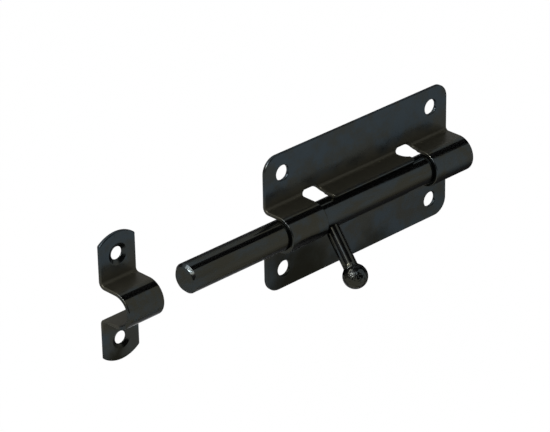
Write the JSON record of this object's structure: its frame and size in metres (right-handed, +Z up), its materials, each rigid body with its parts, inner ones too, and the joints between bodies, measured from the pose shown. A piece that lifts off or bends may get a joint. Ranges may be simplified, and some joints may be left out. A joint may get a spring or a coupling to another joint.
{
  "type": "flat door bolt",
  "caption": "Flat door bolt: pressed plate whose channel guides a sliding round rod, with a ball-ended knob that turns up into notches, and a separate strap keeper.",
  "frame": {"origin": "centre of the plate's four screw holes, on the plate's back face", "axes": "as mounted on a door: +X along the rod towards its hidden end (the rod sticks out towards -X), -Y out of the door towards the viewer, +Z up"},
  "size_m": [0.1998, 0.0323, 0.0624],
  "materials": {
    "black_sheet": "glossy thin black coating on pressed steel sheet",
    "black_bar": "glossy thin black coating on turned steel bar"
  },
  "bodies": {
    "housing": {"mounting_plate": "black_sheet", "keeper": "black_sheet"},
    "rod": {"bolt_rod": "black_bar"},
    "knob": {"knob": "black_bar"}
  },
  "joints": [
    {"name": "rod_slide", "type": "slide", "parent": "housing", "child": "rod", "axis": [1, 0, 0], "range_m": [-0.0027, 0.0566]},
    {"name": "knob_turn", "type": "hinge", "parent": "rod", "child": "knob", "pos_m": [-0.0281, -0.0095, 0], "axis": [-1, 0, 0], "range_deg": [-37, 143]}
  ]
}
